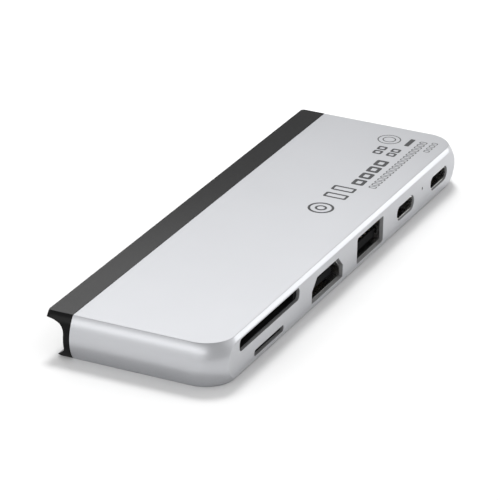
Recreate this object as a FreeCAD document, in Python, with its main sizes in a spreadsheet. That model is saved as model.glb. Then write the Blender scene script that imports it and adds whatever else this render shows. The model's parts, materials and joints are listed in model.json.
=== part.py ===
import FreeCAD, Part
import math
import os
import Sketcher

# A slim laptop hub: a one-piece aluminium shell, closed on its laptop side by a moulded plug
# carrier with two plugs, and covered there by a black strip that magnets hold.
# Axes: +X along the hub from the card slots to the second small socket, -Y out of the sockets,
# +Y to the laptop, +Z up through the marked face. The origin is the middle of the base.
# "From end" distances run along the hub from the card-slot end of the slab's flat outline.

DIMENSIONS = {
    # slab and its bulged edges
    "slab_length": 119.3,
    "slab_depth": 31.7,
    "slab_height": 9.3,
    "edge_bulge": 1.65,
    "corner_radius": 6.2,
    "face_cut": 0.62,
    "front_wall": 1.2,
    "end_wall": 2.0,
    "flat_wall": 1.0,
    "wall_corner": 4.2,
    "boss_width": 4.2,
    "boss_length": 7.0,
    "groove_depth": 0.8,
    # black strip
    "seam_gap": 0.1,
    "web_thickness": 1.4,
    "lip_reach": 5.5,
    "lip_height": 1.25,
    "web_top": 5.3,
    "knee_reach": 2.45,
    "knee_height": 7.35,
    "knee_radius": 2.35,
    "lip_root_radius": 6.2,
    "foot_reach": 3.2,
    "foot_tip_height": 0.4,
    "foot_tip_bevel": 0.5,
    "lip_corner_radius": 1.0,
    "foot_top": 1.7,
    # plug carrier, its screws and the magnets
    "carrier_depth": 4.0,
    "fit_gap": 0.08,
    "screw_inset": 4.2,
    "screw_head_radius": 1.4,
    "screw_head_height": 0.9,
    "screw_radius": 0.8,
    "screw_length": 9.0,
    "screw_hole_gap": 0.1,
    "screw_thread_bite": 0.15,
    "magnet_length": 8.0,
    "magnet_height": 3.0,
    "carrier_magnet_depth": 1.6,
    "strip_magnet_depth": 0.8,
    "magnet_pitch": 22.0,
    "magnet_count": 4,
    "first_magnet_from_end": 13.0,
    # circuit board
    "board_bottom": 4.0,
    "board_thickness": 0.8,
    "board_front_gap": 1.0,
    "notch_gap": 0.15,
    # card reader
    "reader_from_end": 21.05,
    "sd_slot_width": 27.8,
    "sd_slot_height": 2.7,
    "sd_slot_bottom": 5.4,
    "sd_slot_corner": 1.0,
    "sd_card_depth": 19.5,
    "microsd_from_end": 20.85,
    "microsd_slot_width": 13.5,
    "microsd_slot_height": 1.35,
    "microsd_slot_bottom": 1.55,
    "microsd_slot_corner": 0.5,
    "microsd_card_depth": 13.5,
    "reader_depth": 22.0,
    "microsd_depth": 15.5,
    "card_width": 24.4,
    "microsd_card_width": 11.3,
    # video socket
    "video_from_end": 48.8,
    "video_slot_width": 15.3,
    "video_slot_height": 5.1,
    "video_slot_bottom": 1.65,
    "video_bevel": 2.4,
    "video_length": 10.8,
    # full-size data socket
    "usb_a_from_end": 70.55,
    "usb_a_slot_width": 13.6,
    "usb_a_slot_height": 5.8,
    "usb_a_slot_bottom": 1.48,
    "usb_a_slot_corner": 0.5,
    "usb_a_length": 13.8,
    # small sockets and the light between them
    "usb_c_1_from_end": 89.45,
    "usb_c_2_from_end": 107.95,
    "usb_c_slot_width": 9.35,
    "usb_c_slot_height": 3.4,
    "usb_c_length": 7.6,
    "usb_c_inset": 0.3,
    "light_from_end": 98.6,
    "light_height": 5.45,
    "light_radius": 0.35,
    "socket_inset": 0.65,
    "socket_clearance": 0.15,
    "socket_sheet": 0.3,
    # laptop plugs
    "plug_from_far_end": 12.0,
    "plug_pitch": 15.7,
    "plug_width": 8.25,
    "plug_height": 2.4,
    "plug_reach": 6.65,
    "plug_tail": 3.4,
}


class Size:
    """A length that is a number and also the expression which ties it to the sheet."""

    def __init__(self, number, text):
        self.number = number
        self.text = text

    @staticmethod
    def of(value):
        return value if isinstance(value, Size) else Size(float(value), repr(float(value)))

    def combine(self, other, sign, result):
        return Size(result, "(" + self.text + sign + other.text + ")")

    def __add__(self, other):
        other = Size.of(other)
        return self.combine(other, " + ", self.number + other.number)

    def __radd__(self, other):
        return Size.of(other) + self

    def __sub__(self, other):
        other = Size.of(other)
        return self.combine(other, " - ", self.number - other.number)

    def __rsub__(self, other):
        return Size.of(other) - self

    def __mul__(self, other):
        other = Size.of(other)
        return self.combine(other, " * ", self.number * other.number)

    def __rmul__(self, other):
        return Size.of(other) * self

    def __truediv__(self, other):
        other = Size.of(other)
        return self.combine(other, " / ", self.number / other.number)

    def __neg__(self):
        return Size.of(0) - self


doc = FreeCAD.newDocument("usb_hub")
sheet = doc.addObject("Spreadsheet::Sheet", "Dims")
for row, (alias, number) in enumerate(DIMENSIONS.items(), start=1):
    sheet.set("A" + str(row), alias)
    sheet.set("B" + str(row), str(number))
    sheet.setAlias("B" + str(row), alias)
doc.recompute()


def dim(alias):
    return Size(DIMENSIONS[alias], "Dims." + alias)


# ---------------------------------------------------------------- document helpers

subparts = []


def place(item, x=0, y=0, z=0):
    for axis, value in zip("xyz", (x, y, z)):
        value = Size.of(value)
        item.setExpression("Placement.Base." + axis, value.text)


def new_body(label, x=0, y=0, z=0):
    body = doc.addObject("PartDesign::Body", "Body_" + label)
    body.Label = label
    place(body, x, y, z)
    subparts.append(body)
    return body


def origin_plane(body, role):
    return next(plane for plane in body.Origin.OriginFeatures if plane.Role == role + "_Plane")


def new_sketch(body, plane, level=0):
    """A sketch on one of the body's origin planes, moved to that level along the body's axis."""
    sketch = body.newObject("Sketcher::SketchObject", "Sketch")
    sketch.AttachmentSupport = [(origin_plane(body, plane), "")]
    sketch.MapMode = "FlatFace"
    level = Size.of(level)
    along_normal = -level if plane == "XZ" else level
    sketch.setExpression("AttachmentOffset.Base.z", along_normal.text)
    return sketch


def pin_point(sketch, geometry, vertex, x, y):
    for kind, value in (("DistanceX", Size.of(x)), ("DistanceY", Size.of(y))):
        index = sketch.addConstraint(
            Sketcher.Constraint(kind, -1, 1, geometry, vertex, value.number))
        sketch.setExpression("Constraints[" + str(index) + "]", value.text)


def set_radius(sketch, geometry, radius):
    index = sketch.addConstraint(Sketcher.Constraint("Radius", geometry, radius.number))
    sketch.setExpression("Constraints[" + str(index) + "]", radius.text)


def arc_between(start, end, radius, bend):
    """The short arc between two points; bend 1 turns left from start to end, -1 right."""
    (x0, y0), (x1, y1) = start, end
    chord = math.hypot(x1 - x0, y1 - y0)
    rise = math.sqrt(max(radius ** 2 - (chord / 2) ** 2, 0.0))
    centre_x = (x0 + x1) / 2 - bend * rise * (y1 - y0) / chord
    centre_y = (y0 + y1) / 2 + bend * rise * (x1 - x0) / chord
    first, last = (start, end) if bend > 0 else (end, start)
    angle_0 = math.atan2(first[1] - centre_y, first[0] - centre_x)
    angle_1 = math.atan2(last[1] - centre_y, last[0] - centre_x)
    centre = FreeCAD.Vector(centre_x, centre_y, 0)
    circle = Part.Circle(centre, FreeCAD.Vector(0, 0, 1), radius)
    return Part.ArcOfCircle(circle, angle_0, angle_1)


def outline(sketch, corners, arcs=None):
    """A closed outline through the corners. arcs maps an edge's number to (radius, bend)."""
    arcs = arcs or {}
    count = len(corners)
    points = [(Size.of(x).number, Size.of(y).number) for x, y in corners]
    first_edge = sketch.GeometryCount
    heads = []
    for number in range(count):
        start = points[number]
        end = points[(number + 1) % count]
        if number in arcs:
            radius, bend = arcs[number]
            radius = Size.of(radius)
            edge = sketch.addGeometry(arc_between(start, end, radius.number, bend))
            heads.append((1, 2) if bend > 0 else (2, 1))
            set_radius(sketch, edge, radius)
        else:
            sketch.addGeometry(
                Part.LineSegment(FreeCAD.Vector(*start, 0), FreeCAD.Vector(*end, 0)))
            heads.append((1, 2))
    for number in range(count):
        following = (number + 1) % count
        edge = first_edge + number
        sketch.addConstraint(Sketcher.Constraint(
            "Coincident", edge, heads[number][1], first_edge + following, heads[following][0]))
        pin_point(sketch, edge, heads[number][0], *corners[number])


def rectangle(sketch, x0, x1, y0, y1):
    outline(sketch, [(x0, y0), (x1, y0), (x1, y1), (x0, y1)])


def circle(sketch, x, y, radius):
    x, y, radius = Size.of(x), Size.of(y), Size.of(radius)
    centre = FreeCAD.Vector(x.number, y.number, 0)
    edge = sketch.addGeometry(
        Part.Circle(centre, FreeCAD.Vector(0, 0, 1), radius.number))
    pin_point(sketch, edge, 3, x, y)
    set_radius(sketch, edge, radius)


def rounded_rectangle(sketch, x, y, width, height, radius):
    x, y, width, height, radius = (Size.of(value) for value in (x, y, width, height, radius))
    x0, x1 = x - width / 2, x + width / 2
    y0, y1 = y - height / 2, y + height / 2
    corners = [
        (x0 + radius, y0), (x1 - radius, y0), (x1, y0 + radius), (x1, y1 - radius),
        (x1 - radius, y1), (x0 + radius, y1), (x0, y1 - radius), (x0, y0 + radius)]
    outline(sketch, corners, {edge: (radius, 1) for edge in (1, 3, 5, 7)})


def slot(sketch, x, y, width, height):
    """A straight bar with full round ends, as drawn with the sketcher's slot tool."""
    x, y, width, height = (Size.of(value) for value in (x, y, width, height))
    radius = height / 2
    reach = (width - height) / 2
    quarter = math.pi / 2
    normal = FreeCAD.Vector(0, 0, 1)
    centres = (x - reach, x + reach)
    ends = []
    for centre_x, angle in zip(centres, (quarter, -quarter)):
        centre = FreeCAD.Vector(centre_x.number, y.number, 0)
        arc = Part.ArcOfCircle(
            Part.Circle(centre, normal, radius.number), angle, angle + math.pi)
        ends.append(sketch.addGeometry(arc))
    left, right = ends
    low, high = y.number - radius.number, y.number + radius.number
    bottom = sketch.addGeometry(Part.LineSegment(
        FreeCAD.Vector(centres[0].number, low, 0), FreeCAD.Vector(centres[1].number, low, 0)))
    top = sketch.addGeometry(Part.LineSegment(
        FreeCAD.Vector(centres[1].number, high, 0), FreeCAD.Vector(centres[0].number, high, 0)))
    for line, line_end, arc, arc_end in (
            (bottom, 1, left, 2), (bottom, 2, right, 1), (top, 1, right, 2), (top, 2, left, 1)):
        sketch.addConstraint(Sketcher.Constraint("Tangent", line, line_end, arc, arc_end))
    for arc, centre_x in zip(ends, centres):
        pin_point(sketch, arc, 3, centre_x, y)
        set_radius(sketch, arc, radius)


def feature(body, kind, sketch, length, reverse=False, symmetric=False):
    item = body.newObject("PartDesign::" + kind, kind)
    item.Profile = sketch
    item.setExpression("Length", Size.of(length).text)
    item.Reversed = reverse
    if symmetric:
        item.SideType = "Symmetric"
    return item


def pad(body, plane, level, length, draw, symmetric=False):
    """Adds a prism that runs from level along the body's plus axis."""
    sketch = new_sketch(body, plane, level)
    draw(sketch)
    return feature(body, "Pad", sketch, length, plane == "XZ" and not symmetric, symmetric)


def pocket(body, plane, level, length, draw, symmetric=False):
    """Cuts a prism that runs from level along the body's plus axis."""
    sketch = new_sketch(body, plane, level)
    draw(sketch)
    before = body_volume(body)
    item = feature(body, "Pocket", sketch, length, plane != "XZ" and not symmetric, symmetric)
    assert body_volume(body) < before - 1e-6, body.Label + ": a pocket removed nothing"
    return item


def body_volume(body):
    doc.recompute()
    return body.Shape.Volume


def row_of(body, original, count, pitch):
    """Repeats a feature along X at that pitch."""
    pattern = body.newObject("PartDesign::LinearPattern", "LinearPattern")
    pattern.Originals = [original]
    axis = next(line for line in body.Origin.OriginFeatures if line.Role == "X_Axis")
    pattern.Direction = (axis, [""])
    count, pitch = Size.of(count), Size.of(pitch)
    pattern.setExpression("Length", ((count - 1) * pitch).text)
    pattern.setExpression("Occurrences", count.text)
    body.Tip = pattern
    return pattern


def mirror_across_x(body, originals):
    mirrored = body.newObject("PartDesign::Mirrored", "Mirrored")
    mirrored.Originals = originals
    mirrored.MirrorPlane = (origin_plane(body, "YZ"), [""])
    body.Tip = mirrored
    return mirrored


def box_body(label, x, y, z, width, depth, height):
    """A plain block: x and y are its centre, z its underside."""
    body = new_body(label, x, y, z)
    width, depth = Size.of(width), Size.of(depth)
    pad(body, "XY", 0, height,
        lambda sketch: rectangle(sketch, -width / 2, width / 2, -depth / 2, depth / 2))
    return body


# ---------------------------------------------------------------- main levels of the hub

half_length = dim("slab_length") / 2
height = dim("slab_height")
web_face = dim("slab_depth") + dim("web_thickness")
plug_tip_from_root = web_face + dim("plug_reach")
origin_shift = (plug_tip_from_root - dim("face_cut")) / 2
root_y = -origin_shift
face_y = root_y - dim("face_cut")
wall_back_y = face_y + dim("front_wall")
seam_y = root_y + dim("slab_depth")
carrier_front_y = seam_y - dim("carrier_depth")
ceiling = height - dim("flat_wall")
board_top = dim("board_bottom") + dim("board_thickness")
board_middle = dim("board_bottom") + dim("board_thickness") / 2
board_front_y = wall_back_y + dim("board_front_gap")
board_rear_y = carrier_front_y - 0.3
socket_y = face_y + dim("socket_inset")
plug_2_x = half_length - dim("plug_from_far_end")
plug_1_x = plug_2_x - dim("plug_pitch")
magnet_x = dim("first_magnet_from_end") - half_length

sagitta = dim("edge_bulge")
bulge_radius = (sagitta * sagitta + height * height / 4) / (2 * sagitta)


def along(alias):
    """X of a feature that is given by its distance from the card-slot end."""
    return dim(alias) - half_length


def bulged_section(sketch, reach):
    """The slab's section with both ends bulged, for a half-length of the flat outline."""
    corners = [(-reach, 0), (reach, 0), (reach, height), (-reach, height)]
    outline(sketch, corners, {1: (bulge_radius, 1), 3: (bulge_radius, 1)})


# ---------------------------------------------------------------- housing

def draw_video_outline(sketch, width, tall, bevel, bottom, x=0):
    """The video socket's outline: full width at the bottom, bevelled towards its top."""
    width, tall, bevel, bottom, x = (Size.of(v) for v in (width, tall, bevel, bottom, x))
    corners = [
        (x - width / 2, bottom), (x + width / 2, bottom),
        (x + width / 2, bottom + tall - bevel), (x + width / 2 - bevel, bottom + tall),
        (x - width / 2 + bevel, bottom + tall), (x - width / 2, bottom + tall - bevel)]
    outline(sketch, corners)


def port_cutouts(sketch):
    sd_middle = dim("sd_slot_bottom") + dim("sd_slot_height") / 2
    rounded_rectangle(sketch, along("reader_from_end"), sd_middle,
                      dim("sd_slot_width"), dim("sd_slot_height"), dim("sd_slot_corner"))
    microsd_middle = dim("microsd_slot_bottom") + dim("microsd_slot_height") / 2
    rounded_rectangle(sketch, along("microsd_from_end"), microsd_middle,
                      dim("microsd_slot_width"), dim("microsd_slot_height"),
                      dim("microsd_slot_corner"))
    draw_video_outline(sketch, dim("video_slot_width"), dim("video_slot_height"),
                       dim("video_bevel"), dim("video_slot_bottom"), along("video_from_end"))
    usb_a_middle = dim("usb_a_slot_bottom") + dim("usb_a_slot_height") / 2
    rounded_rectangle(sketch, along("usb_a_from_end"), usb_a_middle,
                      dim("usb_a_slot_width"), dim("usb_a_slot_height"),
                      dim("usb_a_slot_corner"))
    for alias in ("usb_c_1_from_end", "usb_c_2_from_end"):
        slot(sketch, along(alias), board_middle,
             dim("usb_c_slot_width"), dim("usb_c_slot_height"))
    circle(sketch, along("light_from_end"), dim("light_height"), dim("light_radius"))


def shell_cavity(sketch):
    """The hollow seen from above: round front corners, and a screw boss at each rear end."""
    side = half_length - dim("end_wall")
    corner = dim("wall_corner")
    boss_side = side - dim("boss_width")
    boss_front = carrier_front_y - dim("boss_length")
    corners = [
        (-side + corner, wall_back_y), (side - corner, wall_back_y),
        (side, wall_back_y + corner), (side, boss_front), (boss_side, boss_front),
        (boss_side, carrier_front_y), (side, carrier_front_y), (side, seam_y),
        (-side, seam_y), (-side, carrier_front_y), (-boss_side, carrier_front_y),
        (-boss_side, boss_front), (-side, boss_front), (-side, wall_back_y + corner)]
    outline(sketch, corners, {1: (corner, 1), 13: (corner, 1)})


def make_housing_shell():
    body = new_body("housing_shell")
    corner = dim("corner_radius")
    pad(body, "XZ", root_y + corner, dim("slab_depth") - corner,
        lambda sketch: bulged_section(sketch, half_length))
    nose_corners = [(root_y + corner, 0), (root_y + corner, height), (root_y, height), (root_y, 0)]
    pad(body, "YZ", 0, 2 * (half_length - corner),
        lambda sketch: outline(sketch, nose_corners, {2: (bulge_radius, 1)}), symmetric=True)

    quarter_sketch = new_sketch(body, "XZ", root_y + corner)
    quarter_sketch.setExpression("AttachmentOffset.Base.x", (corner - half_length).text)
    outline(quarter_sketch, [(0, 0), (0, height), (-corner, height), (-corner, 0)],
            {2: (bulge_radius, 1)})
    quarter = body.newObject("PartDesign::Revolution", "Revolution")
    quarter.Profile = quarter_sketch
    quarter.ReferenceAxis = (quarter_sketch, ["V_Axis"])
    quarter.Angle = 90
    mirror_across_x(body, [quarter])
    doc.recompute()

    side = half_length - dim("end_wall")
    # the flat port face
    beyond = 5
    pocket(body, "XZ", face_y - beyond, beyond, lambda sketch: rectangle(
        sketch, -half_length - beyond, half_length + beyond, -1, height + 1))
    pocket(body, "XY", dim("flat_wall"), ceiling - dim("flat_wall"), shell_cavity)
    groove = side + dim("groove_depth")
    groove_rear = carrier_front_y - dim("boss_length")
    groove_gap = 0.05
    pocket(body, "XY", dim("board_bottom") - groove_gap, dim("board_thickness") + 2 * groove_gap,
           lambda sketch: rectangle(sketch, -groove, groove,
                                    wall_back_y + dim("wall_corner"), groove_rear))
    pocket(body, "XZ", face_y - 1, dim("front_wall") + 2, port_cutouts)
    screw_x = half_length - dim("screw_inset")

    def screw_holes(sketch):
        for sign in (-1, 1):
            circle(sketch, sign * screw_x, height / 2,
                   dim("screw_radius") - dim("screw_thread_bite"))

    hole_end = 0.5
    pocket(body, "XZ", carrier_front_y - dim("boss_length") + hole_end, dim("boss_length"),
           screw_holes)


def make_plug_carrier():
    body = new_body("plug_carrier")
    gap = dim("fit_gap")
    side = half_length - dim("end_wall") - gap
    pad(body, "XZ", carrier_front_y + gap, dim("carrier_depth") - gap,
        lambda sketch: rectangle(sketch, -side, side, dim("flat_wall") + gap, ceiling - gap))

    def plug_passages(sketch):
        for plug_x in (plug_1_x, plug_2_x):
            slot(sketch, plug_x, board_middle, dim("plug_width") + 0.1, dim("plug_height") + 0.1)

    pocket(body, "XZ", carrier_front_y - 1, dim("carrier_depth") + 2, plug_passages)
    screw_x = half_length - dim("screw_inset")

    def screw_passages(radius):
        def draw(sketch):
            for sign in (-1, 1):
                circle(sketch, sign * screw_x, height / 2, radius)
        return draw

    pocket(body, "XZ", carrier_front_y - 1, dim("carrier_depth") + 2,
           screw_passages(dim("screw_radius") + dim("screw_hole_gap")))
    head_sink = 0.2
    head_room = dim("screw_head_height") + head_sink + 0.05
    pocket(body, "XZ", seam_y - head_room, head_room + 1,
           screw_passages(dim("screw_head_radius") + dim("screw_hole_gap") + 0.05))
    magnet_pockets(body, seam_y - dim("carrier_magnet_depth") - 0.1,
                   dim("carrier_magnet_depth") + 1)


def magnet_section(grow):
    long_half = dim("magnet_length") / 2 + grow
    tall_half = dim("magnet_height") / 2 + grow

    def draw(sketch):
        rectangle(sketch, magnet_x - long_half, magnet_x + long_half,
                  height / 2 - tall_half, height / 2 + tall_half)
    return draw


def magnet_pockets(body, start_y, depth):
    first = pocket(body, "XZ", start_y, depth, magnet_section(0.05))
    row_of(body, first, dim("magnet_count"), dim("magnet_pitch"))


def make_magnets(label, start_y, depth):
    body = new_body(label)
    first = pad(body, "XZ", start_y, depth, magnet_section(0))
    row_of(body, first, dim("magnet_count"), dim("magnet_pitch"))


def make_carrier_screws():
    """Two pan-head screws with a cross recess, side by side along X."""
    head_y = seam_y - 0.2 - dim("screw_head_height")
    body = new_body("carrier_screws", 0, head_y, height / 2)
    screw_x = half_length - dim("screw_inset")
    head = pad(body, "XZ", 0, dim("screw_head_height"),
               lambda sketch: circle(sketch, screw_x, 0, dim("screw_head_radius")))
    shank = pad(body, "XZ", -dim("screw_length"), dim("screw_length"),
                lambda sketch: circle(sketch, screw_x, 0, dim("screw_radius") - 0.2))
    recess_depth = 0.5
    arm, slim = 0.75, 0.16
    recesses = []
    for across, up in ((arm, slim), (slim, arm)):
        recesses.append(pocket(
            body, "XZ", dim("screw_head_height") - recess_depth, recess_depth + 1,
            lambda sketch: rectangle(sketch, screw_x - across, screw_x + across, -up, up)))
    mirror_across_x(body, [head, shank] + recesses)


# ---------------------------------------------------------------- black strip

def strip_section(sketch):
    """Across the strip: back face, lip over the laptop's edge, web, and a sloped foot."""
    back = seam_y + dim("seam_gap")
    lip = seam_y + dim("lip_reach")
    web = seam_y + dim("web_thickness")
    knee = seam_y + dim("knee_reach")
    foot = seam_y + dim("foot_reach")
    lip_under = height - dim("lip_height")
    corners = [
        (back, 0), (foot - dim("foot_tip_bevel"), 0), (foot, dim("foot_tip_height")),
        (web + 0.2, dim("foot_top")), (web, dim("foot_top") + 0.45), (web, dim("web_top")),
        (knee, dim("knee_height")), (lip, lip_under), (lip, height), (back, height)]
    outline(sketch, corners,
            {5: (dim("knee_radius"), -1), 6: (dim("lip_root_radius"), -1)})


def make_edge_frame():
    body = new_body("edge_frame")
    overall = 2 * (half_length + sagitta)
    pad(body, "YZ", 0, overall, strip_section, symmetric=True)

    def outside_of_ends(sketch):
        rectangle(sketch, -half_length - 5, half_length + 5, -2, height + 2)
        bulged_section(sketch, half_length)

    pocket(body, "XZ", seam_y - 2, dim("lip_reach") + 4, outside_of_ends)

    def lip_corner_cut(sketch):
        lip = seam_y + dim("lip_reach")
        round_off = dim("lip_corner_radius")
        x_end = half_length + sagitta + 2
        for sign, bend in ((1, 1), (-1, -1)):
            corners = [
                (sign * (half_length - round_off), lip), (sign * half_length, lip - round_off),
                (sign * x_end, lip - round_off), (sign * x_end, lip + 1),
                (sign * (half_length - round_off), lip + 1)]
            outline(sketch, corners, {0: (round_off, -bend)})

    pocket(body, "XY", dim("foot_top") + 1, height, lip_corner_cut)

    def plug_windows(sketch):
        for plug_x in (plug_1_x, plug_2_x):
            slot(sketch, plug_x, board_middle, dim("plug_width") + 0.6, dim("plug_height") + 0.6)

    pocket(body, "XZ", seam_y - 1, dim("lip_reach") + 2, plug_windows)
    magnet_pockets(body, seam_y - 1, 1 + dim("seam_gap") + dim("strip_magnet_depth") + 0.05)


# ---------------------------------------------------------------- circuit board

def make_main_board():
    body = new_body("main_board", 0, 0, dim("board_bottom"))
    side = half_length - dim("end_wall") + dim("groove_depth") - 0.15
    inner = half_length - dim("end_wall") - dim("boss_width") - 0.3
    boss_front = carrier_front_y - dim("boss_length") - 0.3
    front = board_front_y
    shoulder = wall_back_y + dim("wall_corner") + 0.4
    slim = half_length - dim("end_wall") - 1.6
    corners = [
        (-slim, front), (slim, front), (slim, shoulder), (side, shoulder), (side, boss_front),
        (inner, boss_front), (inner, board_rear_y), (-inner, board_rear_y),
        (-inner, boss_front), (-side, boss_front), (-side, shoulder), (-slim, shoulder)]
    pad(body, "XY", 0, dim("board_thickness"), lambda sketch: outline(sketch, corners))

    def notch(sketch, x, width, start_y, end_y):
        rectangle(sketch, x - width / 2, x + width / 2, start_y, end_y)

    def socket_notches(sketch):
        ahead = front - 1
        room = dim("notch_gap")
        sockets = (
            ("microsd_from_end", "microsd_slot_width", "microsd_depth"),
            ("video_from_end", "video_slot_width", "video_length"),
            ("usb_a_from_end", "usb_a_slot_width", "usb_a_length"),
            ("usb_c_1_from_end", "usb_c_slot_width", "usb_c_length"),
            ("usb_c_2_from_end", "usb_c_slot_width", "usb_c_length"))
        for place_alias, width_alias, length_alias in sockets:
            notch(sketch, along(place_alias), dim(width_alias), ahead,
                  socket_y + dim(length_alias) + room)
        for plug_x in (plug_1_x, plug_2_x):
            notch(sketch, plug_x, dim("plug_width") + 2 * room,
                  carrier_front_y - dim("plug_tail") - room, board_rear_y + 1)

    pocket(body, "XY", -1, dim("board_thickness") + 2, socket_notches)


# Each part on the board: name, distance from the card-slot end, distance behind the port face,
# width, depth and height.
CHIPS = (
    ("hub_controller", 64.0, 22.0, 8.0, 8.0, 0.9),
    ("video_converter", 50.5, 20.0, 7.0, 7.0, 0.9),
    ("power_controller", 100.0, 16.5, 6.0, 6.0, 0.9),
    ("card_controller", 40.3, 19.5, 5.0, 5.0, 0.9),
    ("signal_retimer", 84.5, 16.0, 5.5, 4.0, 0.8),
)


def make_chips():
    for label, from_end, behind_face, width, depth, tall in CHIPS:
        body = box_body(label, from_end - half_length, face_y + behind_face, board_top,
                        width, depth, tall)
        marker = 0.35
        dot_x, dot_y = -width / 2 + 0.9, depth / 2 - 0.9
        pocket(body, "XY", tall - 0.08, 1,
               lambda sketch: circle(sketch, dot_x, dot_y, marker))


def make_row_on_board(label, from_end, behind_face, block, count, pitch):
    """A row of equal blocks on the board's upper side, as one node of separate solids."""
    width, depth, tall = block
    body = new_body(label, from_end - half_length, face_y + behind_face, board_top)
    first = pad(body, "XY", 0, tall,
                lambda sketch: rectangle(sketch, -width / 2, width / 2, -depth / 2, depth / 2))
    row_of(body, first, count, pitch)
    return body


def make_power_inductors():
    """Moulded coils with a round top on a square foot."""
    body = new_body("power_inductors", 88.5 - half_length, face_y + 21.5, board_top)
    foot = pad(body, "XY", 0, 1.3, lambda sketch: rectangle(sketch, -2.0, 2.0, -2.0, 2.0))
    crown = pad(body, "XY", 1.3, 0.9, lambda sketch: circle(sketch, 0, 0, 1.7))
    pattern = row_of(body, foot, 2, 5.2)
    pattern.Originals = [foot, crown]


def make_shield_can():
    """A pressed steel can, open below, over the controller and the converter."""
    left, right = along("video_from_end") - 3.6, along("video_from_end") + 20.6
    front, rear = face_y + 15.6, face_y + 26.8
    tall, sheet = 2.0, 0.2
    body = new_body("shield_can", 0, 0, board_top)
    pad(body, "XY", 0, tall, lambda sketch: rectangle(sketch, left, right, front, rear))
    pocket(body, "XY", -1, 1 + tall - sheet,
           lambda sketch: rectangle(sketch, left + sheet, right - sheet,
                                    front + sheet, rear - sheet))
    pad_body = new_body("thermal_pad", 0, 0, board_top + tall)
    pad(pad_body, "XY", 0, ceiling - board_top - tall,
        lambda sketch: rectangle(sketch, left + 2, right - 2, front + 1.5, rear - 1.5))


def make_insulating_film():
    body = new_body("insulating_film", 0, 0, dim("flat_wall"))
    side = half_length - dim("end_wall") - 6
    pad(body, "XY", 0, 0.12,
        lambda sketch: rectangle(sketch, -side, side, wall_back_y + 1, board_rear_y))


def make_light():
    light_x = along("light_from_end")
    pipe = new_body("light_pipe", light_x, face_y, dim("light_height"))
    pad(pipe, "XZ", 0.25, dim("front_wall") + 0.2,
        lambda sketch: circle(sketch, 0, 0, dim("light_radius") - 0.04))
    pad(pipe, "XZ", dim("front_wall") + 0.1, 0.9,
        lambda sketch: rectangle(sketch, -0.9, 0.9, -0.55, 0.6))
    box_body("status_led", light_x, face_y + dim("front_wall") + 1.65, board_top,
             1.6, 0.9, 1.1)


# ---------------------------------------------------------------- card reader

def make_card_reader():
    reader_x = along("reader_from_end")
    micro_x = along("microsd_from_end")
    sheet_metal = 0.2
    mouth_radius, micro_mouth_radius = 0.7, 0.35
    clearance = dim("socket_clearance")
    nose = wall_back_y - socket_y + 0.05
    sd_top = dim("sd_slot_bottom") + dim("sd_slot_height") - clearance
    sd_bottom = dim("sd_slot_bottom") + clearance
    micro_top = dim("microsd_slot_bottom") + dim("microsd_slot_height") - clearance
    micro_bottom = dim("microsd_slot_bottom") + clearance
    sd_half = dim("sd_slot_width") / 2 - clearance
    micro_half = dim("microsd_slot_width") / 2 - clearance
    depth = dim("reader_depth")
    micro_depth = dim("microsd_depth")

    frame = new_body("card_reader_frame", 0, socket_y)
    sd_roof, micro_floor = sd_top - sheet_metal, micro_bottom + sheet_metal
    pad(frame, "XZ", 0, nose, lambda sketch: rounded_rectangle(
        sketch, reader_x, (sd_bottom + sd_top) / 2, 2 * sd_half, sd_top - sd_bottom,
        mouth_radius))
    pad(frame, "XZ", nose, depth - nose, lambda sketch: rectangle(
        sketch, reader_x - sd_half, reader_x + sd_half, board_top, sd_roof))
    pad(frame, "XZ", nose, micro_depth - nose, lambda sketch: rectangle(
        sketch, micro_x - micro_half, micro_x + micro_half, micro_floor, board_top))
    pad(frame, "XZ", 0, nose, lambda sketch: rounded_rectangle(
        sketch, micro_x, (micro_bottom + micro_top) / 2, 2 * micro_half,
        micro_top - micro_bottom, micro_mouth_radius))
    card_half, card_floor = dim("card_width") / 2, dim("sd_slot_bottom") + 0.3
    pocket(frame, "XZ", -1, nose + 1, lambda sketch: rectangle(
        sketch, reader_x - card_half, reader_x + card_half, card_floor, sd_roof))
    pocket(frame, "XZ", nose, dim("sd_card_depth") - nose, lambda sketch: rectangle(
        sketch, reader_x - card_half, reader_x + card_half, card_floor, sd_roof + 1))
    micro_card_half, micro_roof = dim("microsd_card_width") / 2, micro_top - 0.15
    pocket(frame, "XZ", -1, dim("microsd_card_depth") + 1, lambda sketch: rectangle(
        sketch, micro_x - micro_card_half, micro_x + micro_card_half, micro_floor, micro_roof))

    cover_start = nose + 0.02

    def cover(label, x, half_width, deep, low, high):
        body = new_body(label, 0, socket_y)
        pad(body, "XZ", cover_start, deep - cover_start, lambda sketch: rectangle(
            sketch, x - half_width, x + half_width, low, high))
        return body

    top_cover = cover("card_reader_top_cover", reader_x, sd_half - 0.6, depth, sd_roof, sd_top)
    window_y = 6.0
    pocket(top_cover, "XY", sd_roof - 1, 3, lambda sketch: rectangle(
        sketch, reader_x - 8, reader_x - 3, window_y, window_y + 6))
    cover("card_reader_bottom_cover", micro_x, micro_half - 0.3, micro_depth,
          micro_bottom, micro_floor)

    sd_contacts = new_body("sd_contacts", reader_x - 10.0, socket_y + 12.5, card_floor)
    first = pad(sd_contacts, "YZ", -0.5, 1.0, lambda sketch: outline(
        sketch, [(0, 0), (6.0, 0), (6.0, 0.2), (3.0, 0.75), (2.2, 0.75), (0, 0.2)]))
    row_of(sd_contacts, first, 9, 2.5)
    microsd_contacts = new_body(
        "microsd_contacts", micro_x - 3.85, socket_y + 7.5, micro_roof)
    first = pad(microsd_contacts, "YZ", -0.3, 0.6, lambda sketch: outline(
        sketch, [(0, 0), (0, -0.12), (1.6, -0.4), (2.2, -0.4), (4.5, -0.12), (4.5, 0)]))
    row_of(microsd_contacts, first, 8, 1.1)


# ---------------------------------------------------------------- sockets

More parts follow.
